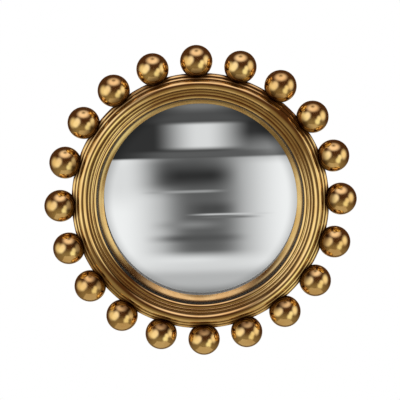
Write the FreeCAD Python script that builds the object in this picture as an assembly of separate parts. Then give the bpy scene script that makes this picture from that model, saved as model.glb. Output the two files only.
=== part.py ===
"""Round convex mirror in a gilt, moulded frame ringed with twenty turned balls.

The mirror hangs on a wall.  +Z is up, +X is right, and the front faces -Y.  The origin lies on the
wall, on the axis of the glass, so every depth below is a distance in front of the wall.
Lengths are in millimetres and angles in degrees, clockwise from the top as seen from the front.
"""
import FreeCAD
import Part
import math
import os

# ---- the glass ---------------------------------------------------------------------------------
GLASS_DIAMETER = 355.6        # a 14 inch convex glass
GLASS_THICKNESS = 4.0
GLASS_RISE = 12.0             # how far the middle of the dome stands in front of its edge
GLASS_SIDE_GAP = 1.2          # play between the edge of the glass and its rebate
SIGHT_OVERLAP = 4.6           # how far the gilt liner reaches over the edge of the glass

# ---- what lies behind the glass ----------------------------------------------------------------
PAD_THICKNESS = 6.0           # the rubber pads that touch the wall
PAD_RADIUS = 9.5
PAD_TAPER = 1.0
PAD_BALLS = (2, 8, -8, -2)     # the pads stand behind these balls, counted from the top
PAD_EDGE_MARGIN = 7.5         # from the edge of a pad to the edge of the backing board
BOARD_THICKNESS = 4.0
BOARD_MARGIN = 7.0            # the board stops this short of the outside of the frame
PACKING_THICKNESS = 9.0       # plywood ring that the board presses forward
PACKING_WIDTH = 14.0
PACKING_SIDE_GAP = 0.5
FOAM_THICKNESS = 3.0          # soft ring between the plywood and the glass
FOAM_WIDTH = 9.0

# ---- gilt liner and black slip, from the glass outwards ----------------------------------------
LINER_FACE_WIDTH = 8.8        # from the sight edge to the foot of the black slip, across the front
LINER_SIGHT_NOSE = 0.7        # thickness of the thin edge that lies on the glass
LINER_SCOOP_WIDTH = 7.6
LINER_SCOOP_HEIGHT = 11.0
LINER_SCOOP_HOLLOW = 0.5
LINER_BEAD_HEIGHT = 3.4
LINER_BEAD_SWELL = 0.5
LINER_SHELF = 2.6             # the liner's shelf sits this far in front of its sight edge
SLIP_FOOT_THICKNESS = 4.1
SLIP_TOP_THICKNESS = 2.7
SLIP_HEIGHT = 15.0

# ---- moulded front -----------------------------------------------------------------------------
LIP_COVER = 2.1               # how far the innermost bead reaches over the slip
MOULDING_WIDTH = 44.0         # from that lip to the side of the rim
ROUNDS = (                     # width, rise, swell and step to the next, in hundredths of that width
    (17.0, 3.4, 3.0, 4.1),    # inner bead beside the slip
    (11.4, 1.4, 2.0, 4.5),
    (9.1, 1.1, 1.5, 9.1),
    (36.8, -10.3, 12.6, 0),   # the great half round
    (12.1, -9.1, 2.7, 0),
    (13.6, -12.7, 3.4, 0),    # outermost bead, at the shoulder of the rim
)
QUIRK_WIDTH = 0.7             # the flat-bottomed line sunk between two rounds
QUIRK_DEPTH = 0.9

# ---- back ring ---------------------------------------------------------------------------------
BACK_RING_THICKNESS = 29.0
BACK_EDGE_BEVEL = 1.5

# ---- glue joints: each ring is glued up from as many segments as there are balls, then turned ----
FRONT_JOINT_ANGLE = 5.6       # from a ball to the next joint, clear of its hollow and of the screws
BACK_JOINT_ANGLE = -5.6       # staggered against the joints in front
LINER_JOINT_ANGLE = 0.0

# ---- balls -------------------------------------------------------------------------------------
BALL_COUNT = 20
BALL_DIAMETER = 57.0
BALL_STANDOFF = 20.3          # from the side of the rim to the centre of a ball
BALL_ABOVE_JOINT = 12.0       # ball centres lie this far in front of the joint between the rings
BALL_SOCKET_GAP = 0.1         # glue line in the hollow that each ball sits in
DOWEL_DIAMETER = 10.0
DOWEL_IN_BALL = 17.0
DOWEL_IN_RIM = 19.0
DOWEL_GAP = 0.05
DOWEL_END_GAP = 0.5

# ---- screws ------------------------------------------------------------------------------------
PILOT_GAP = 0.05
BOARD_SCREW_DIAMETER = 3.5
BOARD_SCREW_LENGTH = 18.0
BOARD_SCREW_HEAD_DIAMETER = 7.0
BOARD_SCREW_HEAD_HEIGHT = 2.2
BOARD_SCREW_MARGIN = 8.0      # from the edge of the board to the screws
RING_SCREW_DIAMETER = 4.5
RING_SCREW_LENGTH = 42.0
RING_SCREW_HEAD_DIAMETER = 8.6
RING_SCREW_INSET = 24.0       # from the outside of the rim
HEAD_GAP = 0.1

# ---- hanger ------------------------------------------------------------------------------------
HANGER_INSET = 22.0           # hinge line of the hanging ring, below the outside of the rim
LOOP_WIRE_DIAMETER = 3.2
LOOP_HALF_WIDTH = 11.0
LOOP_CORNER_RADIUS = 3.5
LOOP_REACH = 16.0             # from the hinge line to the far side of the loop, centre to centre
LOOP_EYE_GAP = 0.06           # running clearance of the wire in its eye
STRAP_THICKNESS = 1.2
STRAP_SIDE_GAP = 0.5          # between the eye and the bends of the wire
STRAP_FIRST_HOLE = 9.5        # below the hinge line
STRAP_END_MARGIN = 6.0
STRAP_SCREW_DIAMETER = 3.5
STRAP_SCREW_LENGTH = 16.0
STRAP_SCREW_HEAD_DIAMETER = 6.8
STRAP_SCREW_HEAD_HEIGHT = 1.9
STRAP_HEAD_CLEARANCE = 1.0    # between the folded loop and the head of the lower screw

# ---- worked out from the above -----------------------------------------------------------------
GLASS_RADIUS = GLASS_DIAMETER / 2
DOME_RADIUS = (GLASS_RADIUS ** 2 + GLASS_RISE ** 2) / (2 * GLASS_RISE)
REBATE_RADIUS = GLASS_RADIUS + GLASS_SIDE_GAP
SIGHT_RADIUS = GLASS_RADIUS - SIGHT_OVERLAP
SLIP_FOOT_RADIUS = SIGHT_RADIUS + LINER_FACE_WIDTH
SLIP_OUTER_RADIUS = SLIP_FOOT_RADIUS + SLIP_FOOT_THICKNESS
LIP_RADIUS = SLIP_OUTER_RADIUS - LIP_COVER
RIM_RADIUS = LIP_RADIUS + MOULDING_WIDTH
MOULDING_SHARE = MOULDING_WIDTH / sum(width for width, _, _, _ in ROUNDS)
BALL_RADIUS = BALL_DIAMETER / 2
BALL_CIRCLE_RADIUS = RIM_RADIUS + BALL_STANDOFF

BOARD_BACK = PAD_THICKNESS
FRAME_BACK = BOARD_BACK + BOARD_THICKNESS
PACKING_FRONT = FRAME_BACK + PACKING_THICKNESS
GLASS_EDGE_BACK = PACKING_FRONT + FOAM_THICKNESS


def sagitta_height(sphere_radius, radius):
    """Height of a sphere's surface above its centre, at a distance from its axis."""
    return math.sqrt(sphere_radius ** 2 - radius ** 2)


DOME_CENTRE = GLASS_EDGE_BACK - sagitta_height(DOME_RADIUS - GLASS_THICKNESS, GLASS_RADIUS)
SIGHT_DEPTH = DOME_CENTRE + sagitta_height(DOME_RADIUS, SIGHT_RADIUS)
RING_JOINT = FRAME_BACK + BACK_RING_THICKNESS
LINER_SHELF_DEPTH = SIGHT_DEPTH + LINER_SHELF
SLIP_FOOT_DEPTH = SIGHT_DEPTH + LINER_SIGHT_NOSE + LINER_SCOOP_HEIGHT + LINER_BEAD_HEIGHT
SLIP_TOP_DEPTH = SLIP_FOOT_DEPTH + SLIP_HEIGHT
BALL_DEPTH = RING_JOINT + BALL_ABOVE_JOINT

BOARD_RADIUS = RIM_RADIUS - BOARD_MARGIN
BOARD_SCREW_CIRCLE = BOARD_RADIUS - BOARD_SCREW_MARGIN
RING_SCREW_CIRCLE = RIM_RADIUS - RING_SCREW_INSET
PAD_CIRCLE = BOARD_RADIUS - PAD_EDGE_MARGIN - PAD_RADIUS
BALL_STEP = 360 / BALL_COUNT

WIRE_RADIUS = LOOP_WIRE_DIAMETER / 2
EYE_RADIUS = WIRE_RADIUS + LOOP_EYE_GAP
EYE_OUTER_RADIUS = EYE_RADIUS + STRAP_THICKNESS
HINGE_HEIGHT = RIM_RADIUS - HANGER_INSET
HINGE_DEPTH = BOARD_BACK - EYE_OUTER_RADIUS
STRAP_WIDTH = 2 * (LOOP_HALF_WIDTH - LOOP_CORNER_RADIUS - STRAP_SIDE_GAP)
STRAP_FACE = BOARD_BACK - STRAP_THICKNESS
STRAP_SECOND_HOLE = LOOP_REACH + WIRE_RADIUS + STRAP_HEAD_CLEARANCE + STRAP_SCREW_HEAD_DIAMETER / 2
STRAP_HOLES = (STRAP_FIRST_HOLE, STRAP_SECOND_HOLE)
STRAP_LENGTH = STRAP_SECOND_HOLE + STRAP_END_MARGIN

SECTION_ANGLE = 90            # sections are drawn on the right of the axis, a quarter turn from the top
AXIS = FreeCAD.Vector(0, 1, 0)
FORWARD = FreeCAD.Vector(0, -1, 0)
UP = FreeCAD.Vector(0, 0, 1)
ORIGIN = FreeCAD.Vector(0, 0, 0)


# ---- helpers -----------------------------------------------------------------------------------
def section(radius, depth):
    """A point of a turned piece's section: its distance from the axis and from the wall."""
    return FreeCAD.Vector(radius, -depth, 0)


def place(angle, radius, depth):
    """A point on a circle round the axis, the angle being clockwise from the top."""
    turn = math.radians(angle)
    return FreeCAD.Vector(radius * math.sin(turn), -depth, radius * math.cos(turn))


def line(start, end):
    return Part.makeLine(start, end)


def outline(points):
    """The straight edges of a closed section, corner to corner."""
    return [line(start, end) for start, end in zip(points, points[1:] + points[:1])]


def swollen(start, end, swell):
    """A round from one point to another, standing proud of the straight line by its swell."""
    chord = end - start
    side = FreeCAD.Vector(chord.y, -chord.x, 0)
    side.normalize()
    middle = (start + end) * 0.5 + side * swell
    return Part.Arc(start, middle, end).toShape()


def dome_arc(sphere_radius, inner, outer):
    """The part of the dome's section that lies between two distances from the axis."""
    points = []
    for radius in (inner, (inner + outer) / 2, outer):
        points.append(section(radius, DOME_CENTRE + sagitta_height(sphere_radius, radius)))
    return Part.Arc(*points).toShape()


def turned(edges):
    """A ring or disc turned on the axis of the mirror from the edges of its section."""
    face = Part.Face(Part.Wire(edges))
    return face.revolve(ORIGIN, AXIS, 360)


def spun(shape, angle):
    """A copy of a shape that stands at the top, carried clockwise round the axis of the mirror."""
    copy = shape.copy()
    copy.rotate(ORIGIN, AXIS, angle)
    return copy


def at_each(shape, angles):
    return [spun(shape, angle) for angle in angles]


def glued_ring(edges, first_joint, cutters=()):
    """A turned ring as the equal segments that it was glued up from, cut where a cutter meets one."""
    face = Part.Face(Part.Wire(edges))
    face.rotate(ORIGIN, AXIS, first_joint - SECTION_ANGLE)
    first = face.revolve(ORIGIN, AXIS, BALL_STEP)
    segments = []
    for segment in at_each(first, ball_angles()):
        met = [cutter for cutter in cutters if cutter.BoundBox.intersect(segment.BoundBox)]
        segments.append(segment.cut(met) if met else segment)
    return Part.makeCompound(segments)


def ring(inner, outer, back, front):
    """A plain flat ring or, with no inner radius, a disc."""
    body = Part.makeCylinder(outer, front - back, section(0, back), FORWARD)
    if inner > 0:
        body = body.cut(Part.makeCylinder(inner, front - back, section(0, back), FORWARD))
    return body


def hole(centre, direction, radius, length):
    return Part.makeCylinder(radius, length, centre, direction)


def pan_screw(seat, diameter, length, head_diameter, head_height):
    """A screw that is driven forward from its seat, with a shallow domed head behind it."""
    shank = Part.makeCylinder(diameter / 2, length - diameter, seat, FORWARD)
    point = Part.makeCone(diameter / 2, diameter / 8, diameter, seat + FORWARD * (length - diameter), FORWARD)
    head = Part.makeCone(head_diameter / 2, head_diameter / 3, head_height, seat, AXIS)
    return shank.fuse([point, head]).removeSplitter()


def countersunk_screw(seat, diameter, length, head_diameter):
    """A screw that is driven forward, its conical head flush with its seat."""
    sink = (head_diameter - diameter) / 2
    head = Part.makeCone(head_diameter / 2, diameter / 2, sink, seat, FORWARD)
    shank = Part.makeCylinder(diameter / 2, length - sink - diameter, seat + FORWARD * sink, FORWARD)
    tip = seat + FORWARD * (length - diameter)
    point = Part.makeCone(diameter / 2, diameter / 8, diameter, tip, FORWARD)
    return head.fuse([shank, point]).removeSplitter()


# ---- where the repeated pieces stand -----------------------------------------------------------
def ball_angles():
    return [index * BALL_STEP for index in range(BALL_COUNT)]


def ring_screw_angles():
    """Every second gap between two balls, so that no screw meets a dowel."""
    return [angle + BALL_STEP / 2 for angle in ball_angles()[0::2]]


def board_screw_angles():
    """The gaps that the screws of the two rings leave free."""
    return [angle + BALL_STEP / 2 for angle in ball_angles()[1::2]]


def strap_screw_seats(depth):
    return [FreeCAD.Vector(0, -depth, HINGE_HEIGHT - drop) for drop in STRAP_HOLES]


# ---- balls and their dowels --------------------------------------------------------------------
def dowel_start():
    """Distance of a dowel's inner end from the axis of the mirror."""
    return BALL_CIRCLE_RADIUS - BALL_RADIUS - DOWEL_IN_RIM


def dowel_hole():
    start = place(0, dowel_start() - DOWEL_END_GAP, BALL_DEPTH)
    length = DOWEL_IN_RIM + DOWEL_IN_BALL + 2 * DOWEL_END_GAP
    return hole(start, UP, DOWEL_DIAMETER / 2 + DOWEL_GAP, length)


def ball_dowels():
    length = DOWEL_IN_RIM + DOWEL_IN_BALL
    dowel = hole(place(0, dowel_start(), BALL_DEPTH), UP, DOWEL_DIAMETER / 2, length)
    return Part.makeCompound(at_each(dowel, ball_angles()))


def sphere(radius):
    return Part.makeSphere(radius, place(0, BALL_CIRCLE_RADIUS, BALL_DEPTH), UP)


def balls():
    drilled = sphere(BALL_RADIUS).cut(dowel_hole())
    return at_each(drilled, ball_angles())


def ball_cutters():
    """What the balls and their dowels take out of the rim."""
    socket = sphere(BALL_RADIUS + BALL_SOCKET_GAP)
    return at_each(socket, ball_angles()) + at_each(dowel_hole(), ball_angles())


# ---- the two turned rings ----------------------------------------------------------------------
def moulded_edges():
    """The rounds from the lip over the slip out to the shoulder, each two of them parted by a quirk."""
    edges = []
    start = section(LIP_RADIUS, SLIP_TOP_DEPTH)
    corner = start
    for index, (width, rise, swell, step) in enumerate(ROUNDS):
        corner = corner + section(width, rise) * MOULDING_SHARE
        height = swell * MOULDING_SHARE
        if index == len(ROUNDS) - 1:
            edges.append(swollen(start, corner, height))
            break
        near = corner - section(QUIRK_WIDTH / 2, 0)
        sunk_near = near - section(0, QUIRK_DEPTH)
        sunk_far = sunk_near + section(QUIRK_WIDTH, 0)
        corner = corner + section(0, step) * MOULDING_SHARE
        far = corner + section(QUIRK_WIDTH / 2, 0)
        edges.append(swollen(start, near, height))
        edges.append(line(near, sunk_near))
        edges.append(line(sunk_near, sunk_far))
        edges.append(line(sunk_far, far))
        start = far
    return edges, corner


def front_ring():
    """The moulded front, hollowed for the balls and bored over the slip and the liner."""
    lip = section(LIP_RADIUS, SLIP_TOP_DEPTH)
    slip_top = section(SLIP_OUTER_RADIUS, SLIP_TOP_DEPTH)
    bore_back = section(SLIP_OUTER_RADIUS, RING_JOINT)
    rim_back = section(RIM_RADIUS, RING_JOINT)
    edges, shoulder = moulded_edges()
    edges += [
        line(shoulder, rim_back),
        line(rim_back, bore_back),
        line(bore_back, slip_top),
        line(slip_top, lip),
    ]
    cutters = ball_cutters() + at_each(ring_screw_hole(), ring_screw_angles())
    return glued_ring(edges, FRONT_JOINT_ANGLE, cutters)


def back_ring():
    """The deep ring behind, rebated for the glass and counterbored for the liner."""
    points = [
        section(REBATE_RADIUS, FRAME_BACK),
        section(RIM_RADIUS - BACK_EDGE_BEVEL, FRAME_BACK),
        section(RIM_RADIUS, FRAME_BACK + BACK_EDGE_BEVEL),
        section(RIM_RADIUS, RING_JOINT),
        section(SLIP_OUTER_RADIUS, RING_JOINT),
        section(SLIP_OUTER_RADIUS, LINER_SHELF_DEPTH),
        section(REBATE_RADIUS, LINER_SHELF_DEPTH),
    ]
    cutters = ball_cutters()
    cutters += at_each(ring_screw_hole(), ring_screw_angles())
    cutters += at_each(ring_screw_sink(), ring_screw_angles())
    cutters += at_each(board_screw_pilot(), board_screw_angles())
    cutters += strap_screw_pilots()
    return glued_ring(outline(points), BACK_JOINT_ANGLE, cutters)


# ---- slip and liner ----------------------------------------------------------------------------
def black_slip():
    """A thin dark ring that lines the opening inside the moulding."""
    points = [
        section(SLIP_FOOT_RADIUS, SLIP_FOOT_DEPTH),
        section(SLIP_OUTER_RADIUS, SLIP_FOOT_DEPTH),
        section(SLIP_OUTER_RADIUS, SLIP_TOP_DEPTH),
        section(SLIP_OUTER_RADIUS - SLIP_TOP_THICKNESS, SLIP_TOP_DEPTH),
    ]
    return turned(outline(points))


def sight_liner():
    """The gilt liner: a bead, a scoop down to the sight edge, and a seat that lies on the dome."""
    scoop_top_radius = SIGHT_RADIUS + LINER_SCOOP_WIDTH
    nose_depth = SIGHT_DEPTH + LINER_SIGHT_NOSE
    scoop_top_depth = nose_depth + LINER_SCOOP_HEIGHT
    skirt_depth = DOME_CENTRE + sagitta_height(DOME_RADIUS, REBATE_RADIUS)
    sight = section(SIGHT_RADIUS, SIGHT_DEPTH)
    nose = section(SIGHT_RADIUS, nose_depth)
    scoop_top = section(scoop_top_radius, scoop_top_depth)
    bead_top = section(SLIP_FOOT_RADIUS, SLIP_FOOT_DEPTH)
    shoulder = section(SLIP_OUTER_RADIUS, SLIP_FOOT_DEPTH)
    shelf_outer = section(SLIP_OUTER_RADIUS, LINER_SHELF_DEPTH)
    shelf_inner = section(REBATE_RADIUS, LINER_SHELF_DEPTH)
    skirt = section(REBATE_RADIUS, skirt_depth)
    edges = [
        line(sight, nose),
        swollen(nose, scoop_top, -LINER_SCOOP_HOLLOW),
        swollen(scoop_top, bead_top, LINER_BEAD_SWELL),
        line(bead_top, shoulder),
        line(shoulder, shelf_outer),
        line(shelf_outer, shelf_inner),
        line(shelf_inner, skirt),
        dome_arc(DOME_RADIUS, SIGHT_RADIUS, REBATE_RADIUS),
    ]
    return glued_ring(edges, LINER_JOINT_ANGLE)


# ---- glass and its packing ---------------------------------------------------------------------
def mirror_glass():
    """A dished glass of even thickness, its middle standing forward."""
    back_radius = DOME_RADIUS - GLASS_THICKNESS
    front_edge = section(GLASS_RADIUS, DOME_CENTRE + sagitta_height(DOME_RADIUS, GLASS_RADIUS))
    back_edge = section(GLASS_RADIUS, GLASS_EDGE_BACK)
    back_middle = section(0, DOME_CENTRE + back_radius)
    front_middle = section(0, DOME_CENTRE + DOME_RADIUS)
    return turned([
        dome_arc(DOME_RADIUS, 0, GLASS_RADIUS),
        line(front_edge, back_edge),
        dome_arc(back_radius, 0, GLASS_RADIUS),
        line(back_middle, front_middle),
    ])


def foam_ring():
    """A soft ring that lies against the back of the glass near its edge."""
    back_radius = DOME_RADIUS - GLASS_THICKNESS
    inner = GLASS_RADIUS - FOAM_WIDTH
    inner_front = section(inner, DOME_CENTRE + sagitta_height(back_radius, inner))
    inner_back = section(inner, PACKING_FRONT)
    outer_back = section(GLASS_RADIUS, PACKING_FRONT)
    outer_front = section(GLASS_RADIUS, GLASS_EDGE_BACK)
    return turned([
        dome_arc(back_radius, inner, GLASS_RADIUS),
        line(outer_front, outer_back),
        line(outer_back, inner_back),
        line(inner_back, inner_front),
    ])


def packing_ring():
    outer = REBATE_RADIUS - PACKING_SIDE_GAP
    return ring(outer - PACKING_WIDTH, outer, FRAME_BACK, PACKING_FRONT)


# ---- backing board and screws ------------------------------------------------------------------
def backing_board():
    body = ring(0, BOARD_RADIUS, BOARD_BACK, FRAME_BACK)
    seat = place(0, BOARD_SCREW_CIRCLE, BOARD_BACK)
    screw_hole = hole(seat, FORWARD, BOARD_SCREW_DIAMETER / 2 + PILOT_GAP, BOARD_THICKNESS)
    cutters = at_each(screw_hole, board_screw_angles())
    for start in strap_screw_seats(BOARD_BACK):
        cutters.append(hole(start, FORWARD, STRAP_SCREW_DIAMETER / 2 + PILOT_GAP, BOARD_THICKNESS))
    return body.cut(cutters)


def board_screw_pilot():
    start = place(0, BOARD_SCREW_CIRCLE, FRAME_BACK)
    depth = BOARD_SCREW_LENGTH - BOARD_THICKNESS + PILOT_GAP
    return hole(start, FORWARD, BOARD_SCREW_DIAMETER / 2 + PILOT_GAP, depth)


def backing_screws():
    seat = place(0, BOARD_SCREW_CIRCLE, BOARD_BACK)
    screw = pan_screw(seat, BOARD_SCREW_DIAMETER, BOARD_SCREW_LENGTH,
                      BOARD_SCREW_HEAD_DIAMETER, BOARD_SCREW_HEAD_HEIGHT)
    return Part.makeCompound(at_each(screw, board_screw_angles()))


def ring_screw_hole():
    start = place(0, RING_SCREW_CIRCLE, FRAME_BACK)
    return hole(start, FORWARD, RING_SCREW_DIAMETER / 2 + PILOT_GAP, RING_SCREW_LENGTH + PILOT_GAP)


def ring_screw_sink():
    """The countersink for the head of a screw that joins the two rings."""
    start = place(0, RING_SCREW_CIRCLE, FRAME_BACK)
    wide = RING_SCREW_HEAD_DIAMETER / 2 + HEAD_GAP
    narrow = RING_SCREW_DIAMETER / 2 + HEAD_GAP
    return Part.makeCone(wide, narrow, wide - narrow, start, FORWARD)


def ring_screws():
    seat = place(0, RING_SCREW_CIRCLE, FRAME_BACK)
    screw = countersunk_screw(seat, RING_SCREW_DIAMETER, RING_SCREW_LENGTH, RING_SCREW_HEAD_DIAMETER)
    return Part.makeCompound(at_each(screw, ring_screw_angles()))


# ---- hanger ------------------------------------------------------------------------------------
def strap_screw_pilots():
    pilots = []
    depth = STRAP_SCREW_LENGTH - STRAP_THICKNESS - BOARD_THICKNESS + PILOT_GAP
    for start in strap_screw_seats(FRAME_BACK):
        pilots.append(hole(start, FORWARD, STRAP_SCREW_DIAMETER / 2 + PILOT_GAP, depth))
    return pilots


def hanger_strap():
    """A steel strap with an eye rolled at its top and a rounded lower end."""
    half = STRAP_WIDTH / 2
    lower_centre = HINGE_HEIGHT - STRAP_LENGTH + half
    top_left = FreeCAD.Vector(-half, -BOARD_BACK, HINGE_HEIGHT)
    top_right = FreeCAD.Vector(half, -BOARD_BACK, HINGE_HEIGHT)
    low_left = FreeCAD.Vector(-half, -BOARD_BACK, lower_centre)
    low_right = FreeCAD.Vector(half, -BOARD_BACK, lower_centre)
    tip = FreeCAD.Vector(0, -BOARD_BACK, lower_centre - half)
    plan = Part.Wire([
        line(top_left, top_right),
        line(top_right, low_right),
        Part.Arc(low_right, tip, low_left).toShape(),
        line(low_left, top_left),
    ])
    plate = Part.Face(plan).extrude(AXIS * STRAP_THICKNESS)
    eye_end = FreeCAD.Vector(-half, -HINGE_DEPTH, HINGE_HEIGHT)
    across = FreeCAD.Vector(1, 0, 0)
    body = plate.fuse(hole(eye_end, across, EYE_OUTER_RADIUS, STRAP_WIDTH))
    body = body.cut(hole(eye_end, across, EYE_RADIUS, STRAP_WIDTH))
    for start in strap_screw_seats(BOARD_BACK):
        body = body.cut(hole(start, AXIS, STRAP_SCREW_DIAMETER / 2 + PILOT_GAP, STRAP_THICKNESS))
    return body.removeSplitter()


def hanging_loop():
    """The loose wire loop, stood up as it is when it hangs on a hook."""
    def at(across, up):
        return FreeCAD.Vector(across, -HINGE_DEPTH, HINGE_HEIGHT + up)

    half = LOOP_HALF_WIDTH
    corner = LOOP_CORNER_RADIUS
    dip = corner * (1 - math.sqrt(0.5))
    shoulder = LOOP_REACH - half
    path = Part.Wire([
        line(at(corner - half, 0), at(half - corner, 0)),
        Part.Arc(at(half - corner, 0), at(half - dip, dip), at(half, corner)).toShape(),
        line(at(half, corner), at(half, shoulder)),
        Part.Arc(at(half, shoulder), at(0, LOOP_REACH), at(-half, shoulder)).toShape(),
        line(at(-half, shoulder), at(-half, corner)),
        Part.Arc(at(-half, corner), at(dip - half, dip), at(corner - half, 0)).toShape(),
    ])
    start = at(corner - half, 0)
    circle = Part.Wire(Part.makeCircle(WIRE_RADIUS, start, FreeCAD.Vector(1, 0, 0)))
    return path.makePipeShell([circle], True, False)


def hanger_screws():
    screws = []
    for seat in strap_screw_seats(STRAP_FACE):
        screws.append(pan_screw(seat, STRAP_SCREW_DIAMETER, STRAP_SCREW_LENGTH,
                                STRAP_SCREW_HEAD_DIAMETER, STRAP_SCREW_HEAD_HEIGHT))
    return Part.makeCompound(screws)


def wall_pads():
    """Four rubber pads stuck to the backing board, their flat tops on the wall."""
    pads = []
    for index in PAD_BALLS:
        base = place(index * BALL_STEP, PAD_CIRCLE, BOARD_BACK)
        pads.append(Part.makeCone(PAD_RADIUS, PAD_RADIUS - PAD_TAPER, PAD_THICKNESS, base, AXIS))
    return Part.makeCompound(pads)


# ---- the whole mirror --------------------------------------------------------------------------
def nodes():
    pieces = {
        "front_ring": front_ring(),
        "back_ring": back_ring(),
        "black_slip": black_slip(),
        "sight_liner": sight_liner(),
        "mirror_glass": mirror_glass(),
        "foam_ring": foam_ring(),
        "packing_ring": packing_ring(),
        "backing_board": backing_board(),
        "backing_screws": backing_screws(),
        "ring_screws": ring_screws(),
        "ball_dowels": ball_dowels(),
        "hanger_strap": hanger_strap(),
        "hanging_loop": hanging_loop(),
        "hanger_screws": hanger_screws(),
        "wall_pads": wall_pads(),
    }
    for number, ball in enumerate(balls(), start=1):
        pieces[f"ball_{number:02d}"] = ball
    return pieces


def main():
    os.makedirs("parts", exist_ok=True)
    for name, shape in nodes().items():
        shape.exportStep(f"parts/{name}.step")
        print(f"{name}: {len(shape.Solids)} solid(s), {shape.Volume / 1000:.1f} cm3, valid {shape.isValid()}")


main()
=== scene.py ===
# %% [markdown]
# # A convex butler's mirror
#
# A domed round glass in a gilt frame: twenty turned balls stand round a turned moulding, a thin
# black slip lines its opening, and a gilt liner leads down to the glass. The measured model gives
# every piece its place. This lesson turns the pieces that show again, with the softened edges that
# gesso and leaf leave on a real frame, and gives every piece its finish.

import math

import bmesh
import bpy
import numpy as np
from mathutils import Matrix, Vector


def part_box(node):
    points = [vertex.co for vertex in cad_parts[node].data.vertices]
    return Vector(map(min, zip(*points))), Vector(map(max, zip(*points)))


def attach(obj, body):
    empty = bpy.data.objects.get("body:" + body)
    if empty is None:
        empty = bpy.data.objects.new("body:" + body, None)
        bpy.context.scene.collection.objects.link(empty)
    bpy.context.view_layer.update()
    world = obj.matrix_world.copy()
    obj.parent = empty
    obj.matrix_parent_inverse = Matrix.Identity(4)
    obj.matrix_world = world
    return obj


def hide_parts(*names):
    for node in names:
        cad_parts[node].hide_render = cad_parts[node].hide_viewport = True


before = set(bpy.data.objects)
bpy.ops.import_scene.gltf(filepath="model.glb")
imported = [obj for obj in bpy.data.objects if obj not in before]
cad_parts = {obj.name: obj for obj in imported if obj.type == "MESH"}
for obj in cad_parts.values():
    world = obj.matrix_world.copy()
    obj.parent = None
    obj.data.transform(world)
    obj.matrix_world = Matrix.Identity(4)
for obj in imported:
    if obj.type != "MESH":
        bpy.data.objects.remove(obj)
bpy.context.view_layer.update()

# %% [markdown]
# ## Sizes
#
# The wall is the plane y = 0 and the front faces -Y, so a depth is a distance in front of the wall.
# The lengths of the pieces are in millimetres. What a node's box can tell is read from the model,
# so that the pieces made below stand exactly where the measured ones do.

# %% Sizes that the pieces share
MM = 0.001
BALL_COUNT = 20
BALL_STEP = 2 * math.pi / BALL_COUNT


def reach(node):
    """The largest distance of a node from the axis of the glass, in millimetres.

    The axis is x = z = 0, so it is the larger of the box's highest x and highest z.
    """
    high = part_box(node)[1]
    return max(high[0], high[2]) / MM


def depths(node):
    """How far the back and the front of a node stand from the wall: -y of its box, in mm."""
    low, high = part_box(node)
    return -high[1] / MM, -low[1] / MM


FRAME_BACK, RING_JOINT = depths("back_ring")[0], depths("front_ring")[0]
RIM_RADIUS = reach("back_ring")
BALL_BACK, BALL_FRONT = depths("ball_01")
BALL_RADIUS = (BALL_FRONT - BALL_BACK) / 2
BALL_DEPTH = (BALL_FRONT + BALL_BACK) / 2
BALL_CIRCLE = reach("ball_01") - BALL_RADIUS
BORE_RADIUS = reach("black_slip")
print(f"rim {RIM_RADIUS:.1f}, balls {BALL_RADIUS:.1f} on a circle of {BALL_CIRCLE:.1f} mm")

# %% [markdown]
# ## Colour and node helpers
#
# Colours are written as the hex values that a colour picker shows, and one function turns them to
# the linear light that the shaders count in. One more function adds a node with its settings and
# its links. It finds a socket by its name, or by its number where two sockets share a name.

# %% Colour and node helpers
MIX_SHARE, MIX_FROM, MIX_TO = 0, 6, 7    # a Mix node's share and its two colours
MIX_RESULT = 2                           # its blended colour
RANGE_FROM_MIN, RANGE_FROM_MAX = 7, 8    # a Map Range node's limits when it maps vectors
NOISE_LOW, NOISE_HIGH = 0.3, 0.7         # a noise seldom leaves this range


def linear(hex_colour):
    """An sRGB hex colour as linear red, green, blue and alpha.

    A channel c gives c / 12.92 up to 0.04045, and ((c + 0.055) / 1.055) ** 2.4 above that.
    """
    channels = np.array([int(hex_colour[i:i + 2], 16) for i in (1, 3, 5)]) / 255
    low = channels / 12.92
    high = ((channels + 0.055) / 1.055) ** 2.4
    return (*np.where(channels <= 0.04045, low, high), 1.0)


def add(tree, kind, inputs=None, **settings):
    """Adds a node. Settings are its properties; inputs are values, or sockets to link from."""
    new = tree.nodes.new(kind)
    for name, value in settings.items():
        setattr(new, name, value)
    for key, value in (inputs or {}).items():
        if isinstance(value, bpy.types.NodeSocket):
            tree.links.new(value, new.inputs[key])
        else:
            new.inputs[key].default_value = value
    return new


def principled(name, **values):
    """A material with one Principled shader and its output, and the object's own coordinates."""
    material = bpy.data.materials.new(name)
    material.use_nodes = True
    tree = material.node_tree
    tree.nodes.clear()
    shader = add(tree, "ShaderNodeBsdfPrincipled", values)
    add(tree, "ShaderNodeOutputMaterial", {"Surface": shader.outputs[0]})
    place = add(tree, "ShaderNodeTexCoord").outputs["Object"]
    return material, tree, shader, place


def two_tones(tree, factor, low, high, start=NOISE_LOW, end=NOISE_HIGH):
    """One colour up to a factor of start, another from end on, and an even blend between them."""
    tone = add(tree, "ShaderNodeValToRGB", {"Fac": factor})
    for stop, position, colour in zip(tone.color_ramp.elements, (start, end), (low, high)):
        stop.position = position
        stop.color = linear(colour)
    return tone.outputs["Color"]


print("white and mid grey as linear light:", linear("#FFFFFF")[0], round(linear("#808080")[0], 3))
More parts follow.
